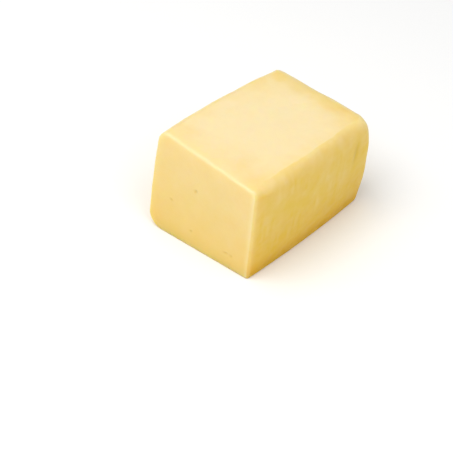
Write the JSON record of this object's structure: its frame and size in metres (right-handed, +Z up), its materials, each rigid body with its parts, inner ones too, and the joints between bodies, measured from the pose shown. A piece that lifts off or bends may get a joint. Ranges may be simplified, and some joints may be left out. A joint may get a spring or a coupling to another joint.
{
  "type": "mozzarella block",
  "caption": "Rectangular block of firm mozzarella with a flat hand-cut face, a rounded moulded end and softly rounded long edges, resting on a flat base.",
  "frame": {"origin": "middle of the block's bounding box, on the surface it stands on", "axes": "+Z up, +Y along the loaf from the cut face toward the moulded end, +X across the loaf, to the right for someone facing the cut face"},
  "size_m": [0.1106, 0.1602, 0.0909],
  "materials": {
    "cheese": "satin, slightly moist and waxy"
  },
  "bodies": {
    "root": {"mozzarella_block": "cheese"}
  },
  "joints": []
}
